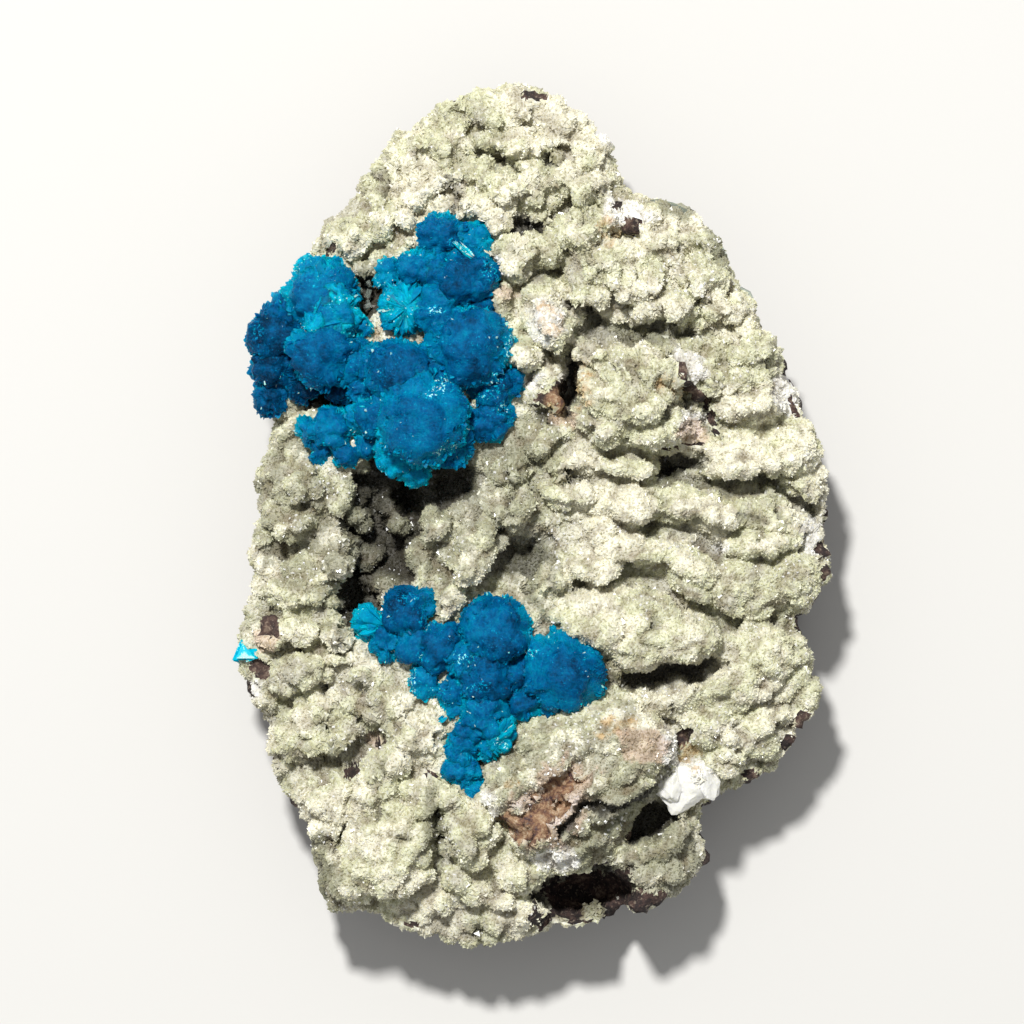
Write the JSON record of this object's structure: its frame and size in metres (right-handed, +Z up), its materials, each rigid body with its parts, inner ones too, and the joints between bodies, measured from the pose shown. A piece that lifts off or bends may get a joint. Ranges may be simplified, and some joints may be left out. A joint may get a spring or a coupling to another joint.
{
  "type": "cavansite mineral specimen on druse-covered basalt",
  "caption": "Blue cavansite rosettes grown on a broken lump of basalt that a pale yellow-green druse covers; lies on its flat back.",
  "frame": {"origin": "middle of the flat back, under the middle of the bounding box", "axes": "+Z up out of the crystal face, +Y towards the lump's narrow end, +X across it"},
  "size_m": [0.0596, 0.0858, 0.0283],
  "materials": {
    "druse": "sparkling crust of small crystals, satin",
    "basalt": "broken, rough, red-brown to grey",
    "cavansite": "glassy blades, deep blue to turquoise"
  },
  "bodies": {
    "root": {"matrix": "druse", "upper_cavansite": "cavansite", "lower_cavansite": "cavansite", "edge_cavansite": "cavansite"}
  },
  "joints": []
}
